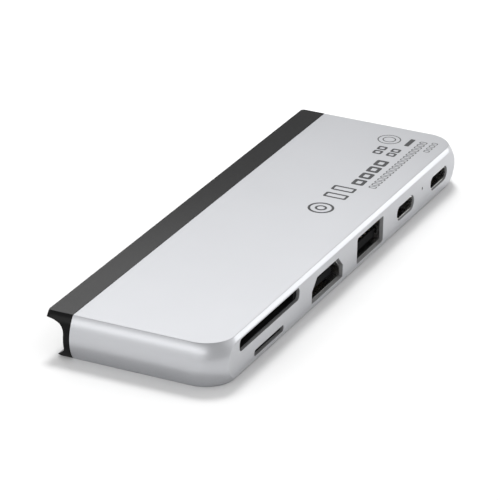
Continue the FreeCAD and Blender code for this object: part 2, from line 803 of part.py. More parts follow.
def make_video_socket():
    clearance, sheet_metal = dim("socket_clearance"), dim("socket_sheet")
    width = dim("video_slot_width") - 2 * clearance
    tall = dim("video_slot_height") - 2 * clearance
    bottom = dim("video_slot_bottom") + clearance
    bevel = dim("video_bevel")
    length = dim("video_length")
    video_x = along("video_from_end")
    shell = new_body("video_socket_shell", video_x, socket_y)
    pad(shell, "XZ", 0, length, lambda sketch: draw_video_outline(
        sketch, width, tall, bevel, bottom))
    pocket(shell, "XZ", -1, length - sheet_metal + 1, lambda sketch: draw_video_outline(
        sketch, width - 2 * sheet_metal, tall - 2 * sheet_metal, bevel - 0.12,
        bottom + sheet_metal))

    blade_bottom = bottom + 1.35
    blade_tall = 1.5
    tongue = new_body("video_socket_tongue", video_x, socket_y)
    gap = sheet_metal + 0.03
    base_length = 3.0
    pad(tongue, "XZ", length - gap - base_length, base_length,
        lambda sketch: draw_video_outline(sketch, width - 2 * gap, tall - 2 * gap,
                                          bevel - 0.12, bottom + gap))
    pad(tongue, "XZ", 0.9, length - gap - 1.5, lambda sketch: rectangle(
        sketch, -5.4, 5.4, blade_bottom, blade_bottom + blade_tall))

    contacts = new_body("video_socket_contacts", video_x, socket_y)
    thickness = 0.1
    for count, level in ((10, blade_bottom + blade_tall), (9, blade_bottom - thickness)):
        half_row = (count - 1) / 2
        first = pad(contacts, "XZ", 1.4, 6.0, lambda sketch: rectangle(
            sketch, -half_row - 0.2, -half_row + 0.2, level, level + thickness))
        row_of(contacts, first, count, 1.0)


def make_usb_a_socket():
    clearance, sheet_metal = dim("socket_clearance"), dim("socket_sheet")
    width = dim("usb_a_slot_width") - 2 * clearance
    tall = dim("usb_a_slot_height") - 2 * clearance
    length = dim("usb_a_length")
    middle = dim("usb_a_slot_bottom") + dim("usb_a_slot_height") / 2
    shell = new_body("usb_a_socket_shell", along("usb_a_from_end"), socket_y, middle)
    pad(shell, "XZ", 0, length,
        lambda sketch: rounded_rectangle(sketch, 0, 0, width, tall, 0.5))
    pocket(shell, "XZ", -1, length - sheet_metal + 1, lambda sketch: rounded_rectangle(
        sketch, 0, 0, width - 2 * sheet_metal, tall - 2 * sheet_metal, 0.25))

    gap = sheet_metal + 0.03
    blade_bottom = -tall / 2 + sheet_metal + 0.75
    blade_tall = 1.84
    tongue = new_body("usb_a_socket_tongue", along("usb_a_from_end"), socket_y, middle)
    base_length = 3.5
    pad(tongue, "XZ", length - gap - base_length, base_length,
        lambda sketch: rounded_rectangle(sketch, 0, 0, width - 2 * gap, tall - 2 * gap, 0.25))
    pad(tongue, "XZ", 0.9, length - gap - 1.5, lambda sketch: rectangle(
        sketch, -5.55, 5.55, blade_bottom, blade_bottom + blade_tall))

    contacts = new_body("usb_a_socket_contacts", along("usb_a_from_end"), socket_y, middle)
    level = blade_bottom + blade_tall
    long_pin = pad(contacts, "XZ", 4.6, 5.0, lambda sketch: rectangle(
        sketch, -4.1, -2.9, level, level + 0.15))
    row_of(contacts, long_pin, 4, 7.0 / 3)
    front_pin = pad(contacts, "XZ", 1.3, 1.6, lambda sketch: rectangle(
        sketch, -4.35, -3.65, level, level + 0.12))
    row_of(contacts, front_pin, 5, 2.0)


def make_usb_c_socket(label, socket_x):
    clearance, sheet_metal = dim("socket_clearance"), dim("socket_sheet")
    width = dim("usb_c_slot_width") - 2 * clearance
    tall = dim("usb_c_slot_height") - 2 * clearance
    mouth_y = face_y + dim("usb_c_inset")
    length = dim("usb_c_length") + dim("socket_inset") - dim("usb_c_inset")
    shell = new_body(label + "_shell", socket_x, mouth_y, board_middle)
    pad(shell, "XZ", 0, length, lambda sketch: slot(sketch, 0, 0, width, tall))
    pocket(shell, "XZ", -1, length - sheet_metal + 1, lambda sketch: slot(
        sketch, 0, 0, width - 2 * sheet_metal, tall - 2 * sheet_metal))

    gap = sheet_metal + 0.03
    tongue = new_body(label + "_tongue", socket_x, mouth_y, board_middle)
    base_length = 1.4
    pad(tongue, "XZ", length - gap - base_length, base_length,
        lambda sketch: slot(sketch, 0, 0, width - 2 * gap, tall - 2 * gap))
    pad(tongue, "XZ", 1.0, length - gap - 1.5,
        lambda sketch: rounded_rectangle(sketch, 0, 0, 6.7, 0.7, 0.3))

    contacts = new_body(label + "_contacts", socket_x, mouth_y, board_middle)
    contact_row(contacts, 1.7, 4.0, 0.35, 0.08)


def contact_row(body, start_y, length, level, thickness):
    """Two mirrored rows of twelve fine contacts, half a millimetre apart."""
    for low in (level, -level - thickness):
        first = pad(body, "XZ", start_y, length, lambda sketch: rectangle(
            sketch, -2.87, -2.63, low, low + thickness))
        row_of(body, first, 12, 0.5)


def make_host_plug(label, plug_x):
    """A male plug: its shell passes through the carrier and stands out past the strip."""
    width, tall = dim("plug_width"), dim("plug_height")
    sheet_metal = 0.2
    tip_y = root_y + plug_tip_from_root
    length = dim("plug_reach") + dim("web_thickness") + dim("carrier_depth")
    mouth = 5.0
    shell = new_body(label + "_shell", plug_x, tip_y, board_middle)
    pad(shell, "XZ", -length, length, lambda sketch: slot(sketch, 0, 0, width, tall))
    pocket(shell, "XZ", -length - 1, length + 2, lambda sketch: slot(
        sketch, 0, 0, width - 2 * sheet_metal, tall - 2 * sheet_metal))

    gap = sheet_metal + 0.02
    insulator = new_body(label + "_insulator", plug_x, tip_y, board_middle)
    pad(insulator, "XZ", -length, length - 0.3,
        lambda sketch: slot(sketch, 0, 0, width - 2 * gap, tall - 2 * gap))
    tail_half_width = dim("plug_width") / 2 - 0.4
    tail = dim("plug_tail")
    pad(insulator, "XZ", -length - tail, tail, lambda sketch: rectangle(
        sketch, -tail_half_width, tail_half_width, -0.8, 0.8))
    pocket(insulator, "XZ", -mouth, mouth + 1,
           lambda sketch: rounded_rectangle(sketch, 0, 0, 7.0, 1.3, 0.4))

    contacts = new_body(label + "_contacts", plug_x, tip_y, board_middle)
    contact_row(contacts, -mouth + 0.1, 3.6, 0.45, 0.15)


make_housing_shell()
make_plug_carrier()
make_magnets("housing_magnets", seam_y - dim("carrier_magnet_depth") - 0.05,
             dim("carrier_magnet_depth"))
make_carrier_screws()
make_edge_frame()
make_magnets("edge_magnets", seam_y + dim("seam_gap") + 0.02, dim("strip_magnet_depth"))
make_main_board()
make_chips()
make_row_on_board("clock_crystals", 74.0, 18.0, (3.2, 2.5, 0.8), 2, 5.0)
make_row_on_board("bulk_capacitors", 76.0, 24.5, (3.5, 2.8, 1.9), 2, 5.0)
make_row_on_board("ceramic_capacitors", 37.5, 25.5, (0.8, 1.6, 0.8), 5, 1.6)
make_row_on_board("surge_arrays", 60.0, 12.8, (1.0, 2.4, 0.6), 2, 21.0)
make_power_inductors()
make_shield_can()
make_insulating_film()
make_light()
make_card_reader()
make_video_socket()
make_usb_a_socket()
make_usb_c_socket("usb_c_socket_1", along("usb_c_1_from_end"))
make_usb_c_socket("usb_c_socket_2", along("usb_c_2_from_end"))
make_host_plug("host_plug_1", plug_1_x)
make_host_plug("host_plug_2", plug_2_x)

doc.recompute()
for item in doc.Objects:
    if "Invalid" in item.State or "Error" in item.State:
        raise RuntimeError(item.Label + " failed to recompute")
for subpart in subparts:
    if subpart.Shape.isNull() or not subpart.Shape.isValid():
        raise RuntimeError(subpart.Label + " has no valid shape")
    if not subpart.Shape.Solids:
        raise RuntimeError(subpart.Label + " has no solid")

os.makedirs("parts", exist_ok=True)
for subpart in subparts:
    subpart.Shape.exportStep("parts/" + subpart.Label + ".step")
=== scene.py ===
import bmesh
import bpy
import json
import math
from mathutils import Matrix, Vector


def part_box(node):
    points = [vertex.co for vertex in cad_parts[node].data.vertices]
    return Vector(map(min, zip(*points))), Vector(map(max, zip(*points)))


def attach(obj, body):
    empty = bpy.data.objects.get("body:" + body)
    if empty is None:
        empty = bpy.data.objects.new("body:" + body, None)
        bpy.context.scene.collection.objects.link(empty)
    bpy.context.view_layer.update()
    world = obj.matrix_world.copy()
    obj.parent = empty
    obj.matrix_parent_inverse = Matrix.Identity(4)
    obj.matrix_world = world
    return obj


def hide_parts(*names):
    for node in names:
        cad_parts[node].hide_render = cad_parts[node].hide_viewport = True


# A slim aluminium laptop hub with a black magnetic strip, lying on a white studio floor.
# Lengths in the helpers below are millimetres; MM turns them into Blender's metres.

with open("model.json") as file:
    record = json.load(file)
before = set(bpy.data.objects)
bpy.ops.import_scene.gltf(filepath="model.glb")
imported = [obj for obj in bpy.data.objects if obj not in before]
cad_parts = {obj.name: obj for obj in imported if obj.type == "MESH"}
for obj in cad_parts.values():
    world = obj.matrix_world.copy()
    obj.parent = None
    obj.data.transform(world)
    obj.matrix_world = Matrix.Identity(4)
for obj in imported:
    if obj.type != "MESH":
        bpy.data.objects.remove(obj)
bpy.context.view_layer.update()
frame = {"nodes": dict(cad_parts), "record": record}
MM = 0.001

# ---------------------------------------------------------------- sizes read from the frame


def span(node):
    """A node's lowest and highest corner in millimetres."""
    low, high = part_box(node)
    return Vector(low) / MM, Vector(high) / MM


shell_low, shell_high = span("housing_shell")
strip_low, strip_high = span("edge_frame")
magnet_low, magnet_high = span("edge_magnets")

BULGE = 1.65                 # how far the round edge stands out at mid height
CORNER = 6.2                 # plan corner radius of the slab's flat outline
FACE_CUT = 0.62              # the port face lies this far in front of the flat outline
HEIGHT = shell_high.z
HALF_LENGTH = shell_high.x - BULGE
FACE_Y = shell_low.y
ROOT_Y = FACE_Y + FACE_CUT
SEAM_Y = shell_high.y
FRONT_WALL = 1.2             # the shell's wall behind the port face
FLAT_WALL = 1.0              # above and below the hollow
END_WALL = 2.0               # at the two short ends
LIP_Y = strip_high.y
BULGE_RADIUS = (BULGE ** 2 + (HEIGHT / 2) ** 2) / (2 * BULGE)
INK_DEPTH = 0.02             # the marks' thickness; the top skin is lowered by as much
INK_LOW = HEIGHT - 1.5 * INK_DEPTH
INK_HIGH = HEIGHT - 0.5 * INK_DEPTH
OVERSHOOT = 1                # how far a cutter reaches past what it cuts
MAGNET_LENGTH = 8.0
MAGNET_COUNT = 4
WIDEST_ROUNDING = 0.15       # the largest bevel that round_edges makes
TOUCHING = 0.01              # points closer than this count as lying in one plane


def front_view(node):
    """A node seen from the front: the x and z of its middle, its width and its height."""
    low, high = span(node)
    return (low.x + high.x) / 2, (low.z + high.z) / 2, high.x - low.x, high.z - low.z


# ---------------------------------------------------------------- mesh helpers


def linked_object(bm, name):
    """Turns a mesh in millimetres into an object of the scene. Cutters stay as bare as this."""
    mesh = bpy.data.meshes.new(name)
    bm.to_mesh(mesh)
    bm.free()
    mesh.transform(Matrix.Scale(MM, 4))
    item = bpy.data.objects.new(name, mesh)
    bpy.context.scene.collection.objects.link(item)
    return item


def object_from(bm, name, material, body):
    """A piece of the hub, with its material and the body that it rides on."""
    item = linked_object(bm, name)
    item.data.materials.append(material)
    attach(item, body)
    return item


def bake_modifiers(item):
    """Replaces the mesh by what its modifiers make of it."""
    graph = bpy.context.evaluated_depsgraph_get()
    mesh = bpy.data.meshes.new_from_object(item.evaluated_get(graph))
    item.modifiers.clear()
    item.data = mesh


def boolean(item, cutter, operation):
    """Cuts or keeps what the cutter covers, and deletes the cutter."""
    modifier = item.modifiers.new("cut", "BOOLEAN")
    modifier.operation = operation
    modifier.solver = "EXACT"
    modifier.object = cutter
    bpy.context.view_layer.update()
    bake_modifiers(item)
    bpy.data.objects.remove(cutter, do_unlink=True)


def clean(item):
    """Merges doubled points and dissolves the seams that a boolean leaves in flat faces."""
    merge, flat_angle = 0.002, 0.2
    bm = bmesh.new()
    bm.from_mesh(item.data)
    bmesh.ops.remove_doubles(bm, verts=bm.verts, dist=merge * MM)
    bmesh.ops.dissolve_limit(
        bm, angle_limit=math.radians(flat_angle), verts=bm.verts, edges=bm.edges)
    bmesh.ops.recalc_face_normals(bm, faces=bm.faces)
    bm.to_mesh(item.data)
    bm.free()


def weigh_normals(item, weight=50):
    """Shades the flat faces flat, so that only the small bevels turn the light."""
    modifier = item.modifiers.new("normals", "WEIGHTED_NORMAL")
    modifier.keep_sharp = True
    modifier.weight = weight


def round_edges(item, rounding, segments=3, crease=20.0):
    """Bevels each crease by what rounding(middle, faces) says, in millimetres."""
    bm = bmesh.new()
    bm.from_mesh(item.data)
    layer = bm.edges.layers.float.new("bevel_weight_edge")
    for edge in bm.edges:
        if len(edge.link_faces) == 2 and edge.calc_face_angle() > math.radians(crease):
            middle = (edge.verts[0].co + edge.verts[1].co) / 2 / MM
            edge[layer] = min(rounding(middle, edge.link_faces) / WIDEST_ROUNDING, 1.0)
    bm.to_mesh(item.data)
    bm.free()
    bevel = item.modifiers.new("edges", "BEVEL")
    bevel.width = WIDEST_ROUNDING * MM
    bevel.segments = segments
    bevel.limit_method = "WEIGHT"
    bevel.material = 0
    bevel.miter_outer = "MITER_ARC"
    bpy.context.view_layer.update()
    bake_modifiers(item)
    smooth(item, 40.0)
    weigh_normals(item, 100)


def soften(item, width):
    """Rounds the sharp edges of a CAD node without touching its mesh."""
    bevel = item.modifiers.new("edges", "BEVEL")
    bevel.width = width * MM
    bevel.segments = 3
    bevel.limit_method = "ANGLE"
    bevel.angle_limit = math.radians(40.0)
    weigh_normals(item)


def smooth(item, crease):
    """Smooth shading, broken at edges sharper than crease degrees."""
    bm = bmesh.new()
    bm.from_mesh(item.data)
    for face in bm.faces:
        face.smooth = True
    for edge in bm.edges:
        edge.smooth = len(edge.link_faces) == 2 and edge.calc_face_angle() < math.radians(crease)
    bm.to_mesh(item.data)
    bm.free()


def bridge(bm, first, second):
    """Joins two closed rows of points with a band of faces."""
    count = len(first)
    for index in range(count):
        following = (index + 1) % count
        bm.faces.new((first[index], first[following], second[following], second[index]))


def loft(rings):
    """A mesh through rings of equal length, with flat ends."""
    bm = bmesh.new()
    rows = [[bm.verts.new(point) for point in ring] for ring in rings]
    for lower, upper in zip(rows, rows[1:]):
        bridge(bm, lower, upper)
    bm.faces.new(tuple(reversed(rows[0])))
    bm.faces.new(rows[-1])
    bmesh.ops.recalc_face_normals(bm, faces=bm.faces)
    return bm


def prism(outline, axis, start, end):
    """An outline pushed along an axis. Its points are (y, z) for "x", (x, z) for "y" and
    (x, y) for "z"."""
    order = {"x": (2, 0, 1), "y": (0, 2, 1), "z": (0, 1, 2)}[axis]

    def ring(level):
        return [Vector([(u, v, level)[place] for place in order]) for u, v in outline]

    return loft([ring(start), ring(end)])


def join(*meshes):
    """One bmesh that holds the others side by side."""
    whole = bmesh.new()
    for bm in meshes:
        mesh = bpy.data.meshes.new("part")
        bm.to_mesh(mesh)
        bm.free()
        whole.from_mesh(mesh)
        bpy.data.meshes.remove(mesh)
    return whole


def arc(centre, radius, start, end, count):
    """The count + 1 points of an arc, angles in degrees."""
    points = []
    for index in range(count + 1):
        angle = math.radians(start + (end - start) * index / count)
        points.append((
            centre[0] + radius * math.cos(angle), centre[1] + radius * math.sin(angle)))
    return points


def circle(centre, radius, count):
    """A closed ring of count points."""
    return arc(centre, radius, 0, 360 * (count - 1) / count, count - 1)


def arc_through(start, end, radius, bend, count):
    """Points after start on the short arc to end; bend 1 turns left, -1 right."""
    (x0, y0), (x1, y1) = start, end
    chord = math.hypot(x1 - x0, y1 - y0)
    rise = math.sqrt(radius ** 2 - (chord / 2) ** 2)
    middle_x = (x0 + x1) / 2 - bend * rise * (y1 - y0) / chord
    middle_y = (y0 + y1) / 2 + bend * rise * (x1 - x0) / chord
    first = math.degrees(math.atan2(y0 - middle_y, x0 - middle_x))
    last = math.degrees(math.atan2(y1 - middle_y, x1 - middle_x))
    turn = (last - first) % 360 if bend > 0 else -((first - last) % 360)
    return arc((middle_x, middle_y), radius, first, first + turn, count)[1:]


def rounded_box(x, y, width, tall, radius, count=6):
    """A rectangle round (x, y) with round corners, of count steps each."""
    reach_x, reach_y = width / 2 - radius, tall / 2 - radius
    points = []
    for sign_x, sign_y, start in ((1, -1, -90), (1, 1, 0), (-1, 1, 90), (-1, -1, 180)):
        centre = (x + sign_x * reach_x, y + sign_y * reach_y)
        points += arc(centre, radius, start, start + 90, count)
    return drop_doubles(points)


def slot_outline(x, y, width, tall):
    """A slot round (x, y) with half-round ends."""
    reach, steps = (width - tall) / 2, 12
    right = arc((x + reach, y), tall / 2, -90, 90, steps)
    left = arc((x - reach, y), tall / 2, 90, 270, steps)
    return right + left


def drop_doubles(points):
    """Leaves out each point that lies on the one before it."""
    gap = 1e-6
    kept = []
    for point in points:
        if not kept or math.dist(point, kept[-1]) > gap:
            kept.append(point)
    if math.dist(kept[0], kept[-1]) <= gap:
        kept.pop()
    return kept


# ---------------------------------------------------------------- materials


class Look:
    """A node material built round one Principled shader."""

    def __init__(self, name, color, metallic, roughness):
        self.material = bpy.data.materials.new(name)
        self.material.use_nodes = True
        self.nodes = self.material.node_tree.nodes
        self.links = self.material.node_tree.links
        self.shader = self.nodes["Principled BSDF"]
        self.shader.inputs["Base Color"].default_value = (*color, 1)
        self.shader.inputs["Metallic"].default_value = metallic
        self.shader.inputs["Roughness"].default_value = roughness
        self.place = self.nodes.new("ShaderNodeTexCoord").outputs["Object"]

    def noise(self, scale, detail=4.0):
        """Noise with about scale lumps to a metre."""
        texture = self.nodes.new("ShaderNodeTexNoise")
        texture.inputs["Scale"].default_value = scale
        texture.inputs["Detail"].default_value = detail
        self.links.new(self.place, texture.inputs["Vector"])
        return texture.outputs["Fac"]

    def ramp(self, source, low, high, low_color, high_color):
        """A colour that goes from low_color to high_color as the source goes from low to high."""
        node = self.nodes.new("ShaderNodeValToRGB")
        node.color_ramp.elements[0].position = low
        node.color_ramp.elements[1].position = high
        node.color_ramp.elements[0].color = (*low_color, 1)
        node.color_ramp.elements[1].color = (*high_color, 1)
        self.links.new(source, node.inputs["Fac"])
        return node.outputs["Color"]

    def spread(self, source, low, high):
        """Maps 0.3 to 0.7 of a noise to low to high."""
        node = self.nodes.new("ShaderNodeMapRange")
        node.inputs["From Min"].default_value = 0.3
        node.inputs["From Max"].default_value = 0.7
        node.inputs["To Min"].default_value = low
        node.inputs["To Max"].default_value = high
        self.links.new(source, node.inputs["Value"])
        return node.outputs["Result"]

    def color_from(self, source):
        self.links.new(source, self.shader.inputs["Base Color"])

    def roughness_from(self, source):
        self.links.new(source, self.shader.inputs["Roughness"])

    def bump_from(self, source, strength, distance):
        """distance is the height of the relief in millimetres."""
        node = self.nodes.new("ShaderNodeBump")
        node.inputs["Strength"].default_value = strength
        node.inputs["Distance"].default_value = distance * MM
        self.links.new(source, node.inputs["Height"])
        self.links.new(node.outputs["Normal"], self.shader.inputs["Normal"])


def mottled(name, color, metallic, roughness, grain, relief, contrast=0.08, ior=1.5):
    """A look with a fine grain in its colour, gloss and relief. grain is in lumps to a metre."""
    patch_size, gloss_change, bump_strength = 60, 0.05, 0.35
    look = Look(name, color, metallic, roughness)
    look.shader.inputs["IOR"].default_value = ior
    fine = look.noise(grain)
    broad = look.noise(grain / patch_size, 2.0)
    darker = tuple(channel * (1 - contrast) for channel in color)
    lighter = tuple(min(channel * (1 + contrast), 1.0) for channel in color)
    look.color_from(look.ramp(broad, 0.35, 0.65, darker, lighter))
    look.roughness_from(look.spread(fine, roughness - gloss_change, roughness + gloss_change))
    look.bump_from(fine, bump_strength, relief)
    return look.material


def anodised():
    """Bead-blasted, anodised aluminium."""
    color, metallic, roughness, gloss_change = (0.495, 0.502, 0.522), 0.82, 0.32, 0.03
    look = Look("anodised_aluminium", color, metallic, roughness)
    blast = look.noise(14000, 3.0)
    cloud = look.noise(45, 2.0)
    darker = tuple(channel * 0.985 for channel in color)
    lighter = tuple(min(channel * 1.012, 1.0) for channel in color)
    look.color_from(look.ramp(cloud, 0.3, 0.7, darker, lighter))
    look.roughness_from(look.spread(blast, roughness - gloss_change, roughness + gloss_change))
    look.bump_from(blast, 0.07, 0.012)
    return look.material


def board_look():
    """Green solder mask over a faint pattern of tracks."""
    green = (0.010, 0.085, 0.036)
    look = Look("board_lacquer", green, 0.0, 0.32)
    tracks = look.nodes.new("ShaderNodeTexBrick")
    tracks.inputs["Scale"].default_value = 260
    tracks.inputs["Color1"].default_value = (*green, 1)
    tracks.inputs["Color2"].default_value = (0.016, 0.110, 0.048, 1)
    tracks.inputs["Mortar"].default_value = (0.005, 0.050, 0.022, 1)
    tracks.inputs["Mortar Size"].default_value = 0.03
    look.links.new(look.place, tracks.inputs["Vector"])
    look.color_from(tracks.outputs["Color"])
    look.bump_from(look.noise(3000), 0.1, 0.01)
    return look.material


# Each slot's colour, metallic share, roughness, grain in lumps to a metre and relief in
# millimetres; the black plastics also give their contrast and refractive index.
MOTTLED = {
    "black_satin_plastic": ((0.0035, 0.0035, 0.0038), 0.0, 0.16, 9000, 0.004, 0.08, 1.21),
    "black_plastic": ((0.003, 0.003, 0.0033), 0.0, 0.75, 7000, 0.01, 0.08, 1.2),
    "zinc_steel": ((0.10, 0.10, 0.11), 1.0, 0.38, 6000, 0.006),
    "nickel_magnet": ((0.62, 0.61, 0.58), 1.0, 0.24, 5000, 0.004),
    "nickel_steel": ((0.78, 0.775, 0.76), 1.0, 0.2, 5000, 0.003),
    "chip_resin": ((0.025, 0.025, 0.026), 0.0, 0.6, 9000, 0.01),
    "capacitor_case": ((0.35, 0.22, 0.05), 0.0, 0.5, 5000, 0.01),
    "ceramic_body": ((0.42, 0.33, 0.22), 0.0, 0.6, 6000, 0.01),
    "inductor_core": ((0.10, 0.10, 0.105), 0.0, 0.7, 8000, 0.02),
    "soft_pad": ((0.42, 0.52, 0.62), 0.0, 0.7, 4000, 0.02),
    "clear_film": ((0.62, 0.48, 0.20), 0.0, 0.25, 2000, 0.004),
    "light_body": ((0.80, 0.81, 0.80), 0.0, 0.25, 5000, 0.004),
    "gold_contact": ((0.36, 0.295, 0.175), 1.0, 0.34, 5000, 0.003),
}
LOOKS = {slot: mottled(slot, *values) for slot, values in MOTTLED.items()}
LOOKS["anodised_aluminium"] = anodised()
LOOKS["circuit_board"] = board_look()
INK = mottled("engraved_grey", (0.042, 0.043, 0.045), 0.0, 0.62, 9000, 0.008, 0.12)
FAINT_INK = mottled("engraved_pale_grey", (0.085, 0.087, 0.09), 0.0, 0.6, 9000, 0.008, 0.12)
# The cut-out walls: rough and less metallic, as milled, and darker grey than the shell, which is
# painted shade for these recesses.
MILLED_SHADED_WALL = mottled("milled_wall_painted_shade", (0.27, 0.27, 0.275), 0.25, 0.5, 6000, 0.006)

# ---------------------------------------------------------------- bulged slab


def edge_profile(top, fillet, levels):
    """The round edge seen in section: (how far it stands out, z) from the underside to the top.

    The edge is one arc, and small fillets lead it into the flat faces.
    """
    middle, steps = Vector((BULGE - BULGE_RADIUS, HEIGHT / 2)), 6

    def fillet_at(rise):
        """The fillet's middle, at this height above the arc's, and the angle where they meet."""
        reach = math.sqrt((BULGE_RADIUS - fillet) ** 2 - rise ** 2)
        return (middle.x + reach, middle.y + rise), math.degrees(math.atan2(rise, reach))

    low_centre, low_turn = fillet_at(fillet - middle.y)
    high_centre, high_turn = fillet_at(top - fillet - middle.y)
    return (
        arc(low_centre, fillet, -90, low_turn, steps)
        + arc(middle, BULGE_RADIUS, low_turn, high_turn, levels)[1:-1]
        + arc(high_centre, fillet, high_turn, 90, steps))


def plan_ring(out, level, rear_y, rear_radius, corner_steps):
    """The slab's outline seen from above, moved outwards by out."""
    corners = (
        (1, ROOT_Y + CORNER, CORNER, -90), (1, rear_y - rear_radius, rear_radius, 0),
        (-1, rear_y - rear_radius, rear_radius, 90), (-1, ROOT_Y + CORNER, CORNER, 180))
    ring = []
    for sign, middle_y, radius, start in corners:
        middle = (sign * (HALF_LENGTH - radius), middle_y)
        ring += arc(middle, radius + out, start, start + 90, corner_steps)
    return [Vector((x, y, level)) for x, y in ring]


def bulged_slab(rear_y, rear_radius, top, fillet, levels=26, corner_steps=36):
    """The solid with one round edge all the way round, up to height top."""
    return loft([
        plan_ring(out, z, rear_y, rear_radius, corner_steps)
        for out, z in edge_profile(top, fillet, levels)])


def trim(bm, point, normal):
    """Cuts off what lies on the normal's side of a plane and closes the cut."""
    geometry = bm.verts[:] + bm.edges[:] + bm.faces[:]
    cut = bmesh.ops.bisect_plane(
        bm, geom=geometry, plane_co=point, plane_no=normal, clear_outer=True, dist=1e-5)
    rim = [item for item in cut["geom_cut"] if isinstance(item, bmesh.types.BMEdge)]
    bmesh.ops.contextual_create(bm, geom=rim)


# ---------------------------------------------------------------- aluminium shell


def video_outline(x, bottom, width, tall):
    """The video socket's opening, a rectangle with its two upper corners cut off."""
    half, bevel = width / 2, 2.4
    return [
        (x - half, bottom), (x + half, bottom), (x + half, bottom + tall - bevel),
        (x + half - bevel, bottom + tall), (x - half + bevel, bottom + tall),
        (x - half, bottom + tall - bevel)]


def port_cutters():
    """The cut-outs in the port face, each a little larger than the socket behind it."""
    margin = 0.15                # left free on each side of a socket
    sd_tall, sd_radius = 2.7, 1.0
    micro_tall, micro_radius = 1.35, 0.5
    micro_extra = 0.6            # by which the small card's slot is wider than its cover
    usb_a_radius = 0.5
    light_z, light_radius = 5.45, 0.35

    x, _, width, _ = front_view("card_reader_frame")
    top = span("card_reader_top_cover")[1].z + margin
    outlines = [rounded_box(x, top - sd_tall / 2, width + 2 * margin, sd_tall, sd_radius)]

    x, _, width, _ = front_view("card_reader_bottom_cover")
    bottom = span("card_reader_bottom_cover")[0].z - margin
    outlines.append(rounded_box(
        x, bottom + micro_tall / 2, width + micro_extra + 2 * margin, micro_tall, micro_radius))

    x, _, width, tall = front_view("video_socket_shell")
    bottom = span("video_socket_shell")[0].z - margin
    outlines.append(video_outline(x, bottom, width + 2 * margin, tall + 2 * margin))

    x, z, width, tall = front_view("usb_a_socket_shell")
    outlines.append(rounded_box(x, z, width + 2 * margin, tall + 2 * margin, usb_a_radius))

    for socket in ("usb_c_socket_1", "usb_c_socket_2"):
        x, z, width, tall = front_view(socket + "_shell")
        outlines.append(slot_outline(x, z, width + 2 * margin, tall + 2 * margin))

    outlines.append(circle((front_view("light_pipe")[0], light_z), light_radius, 24))
    start, end = FACE_Y - OVERSHOOT, FACE_Y + FRONT_WALL + OVERSHOOT
    return join(*[prism(outline, "y", start, end) for outline in outlines])


def cavity_cutter():
    """The hollow of the shell, which is open towards the strip."""
    side, corner, steps = HALF_LENGTH - END_WALL, CORNER - END_WALL, 10
    front, rear = FACE_Y + FRONT_WALL, SEAM_Y + 3 * OVERSHOOT
    outline = arc((side - corner, front + corner), corner, -90, 0, steps)
    outline += [(side, rear), (-side, rear)]
    outline += arc((-side + corner, front + corner), corner, 180, 270, steps)
    return prism(outline, "z", FLAT_WALL, HEIGHT - FLAT_WALL)


def shell_rounding(middle, faces):
    """The bevel on each crease of the shell: port face, cut-outs and seam."""
    outer_edge, cut_edge, seam_edge, top_band = 0.08, 0.15, 0.06, 1.1
    on_face = any(abs(face.normal.y + 1) < 0.001 for face in faces)
    if on_face and abs(middle.y - FACE_Y) < TOUCHING:
        outer = middle.z > HEIGHT - top_band or abs(middle.x) > HALF_LENGTH - CORNER
        return outer_edge if outer else cut_edge
    if abs(middle.y - SEAM_Y) < TOUCHING and middle.z > TOUCHING:
        return seam_edge
    return 0.0


def mill_and_shade_cut_outs(shell):
    """Gives the walls of the cut-outs a rougher, less metallic milled look, and a darker colour
    than the shell as painted shade in these recesses.
    """
    lowest, highest = 1.3, 8.25
    shell.data.materials.append(MILLED_SHADED_WALL)
    for face in shell.data.polygons:
        middle = face.center / MM
        in_wall = FACE_Y + 0.001 < middle.y < FACE_Y + FRONT_WALL
        in_window = lowest < middle.z < highest and abs(middle.x) < HALF_LENGTH - CORNER
        if in_wall and in_window and abs(face.normal.y) < 0.1:
            face.material_index = 1


def make_housing_shell():
    """The aluminium housing, out of a slab that is too long and is cut off at the seam."""
    rear_radius, fillet, extra = 1.0, 0.18, 4
    bm = bulged_slab(SEAM_Y + extra, rear_radius, HEIGHT - INK_DEPTH, fillet)
    trim(bm, (0, SEAM_Y, 0), (0, 1, 0))
    trim(bm, (0, FACE_Y, 0), (0, -1, 0))
    shell = object_from(
        bm, "shell_skin", LOOKS["anodised_aluminium"], "hub")
    boolean(shell, linked_object(cavity_cutter(), "cavity"), "DIFFERENCE")
    boolean(shell, linked_object(port_cutters(), "ports"), "DIFFERENCE")
    clean(shell)
    mill_and_shade_cut_outs(shell)
    round_edges(shell, shell_rounding)
    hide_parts("housing_shell")


# ---------------------------------------------------------------- black strip


def strip_outline():
    """Across the strip, as (y, z): the foot below, the web, and the lip above."""
    back, web, foot = strip_low.y, SEAM_Y + 1.4, SEAM_Y + 3.2
    foot_tip = [(foot - 0.5, 0), (foot, 0.4)]
    foot_slope = [(web + 0.2, 1.7), (web, 2.15)]
    web_top, knee, lip_under = (web, 5.3), (SEAM_Y + 2.45, 7.35), (LIP_Y, HEIGHT - 1.25)
    knee_radius, lip_radius, steps = 2.35, 6.2, 10
    points = [(back, 0), *foot_tip, *foot_slope, web_top]
    points += arc_through(web_top, knee, knee_radius, -1, steps)
    points += arc_through(knee, lip_under, lip_radius, -1, steps)
    points += [(LIP_Y, HEIGHT), (back, HEIGHT)]
    return points


def magnet_spans():
    """Where each of the strip's magnets begins and ends along X."""
    pitch = (magnet_high.x - magnet_low.x - MAGNET_LENGTH) / (MAGNET_COUNT - 1)
    starts = [magnet_low.x + pitch * n for n in range(MAGNET_COUNT)]
    return [(start, start + MAGNET_LENGTH) for start in starts]


def plug_windows():
    """Cutters for the two slots that the laptop plugs pass through."""
    clearance = 0.3
    windows = []
    for plug in ("host_plug_1_shell", "host_plug_2_shell"):
        x, z, width, tall = front_view(plug)
        outline = slot_outline(x, z, width + 2 * clearance, tall + 2 * clearance)
        windows.append(prism(outline, "y", SEAM_Y - OVERSHOOT, LIP_Y + OVERSHOOT))
    return join(*windows)


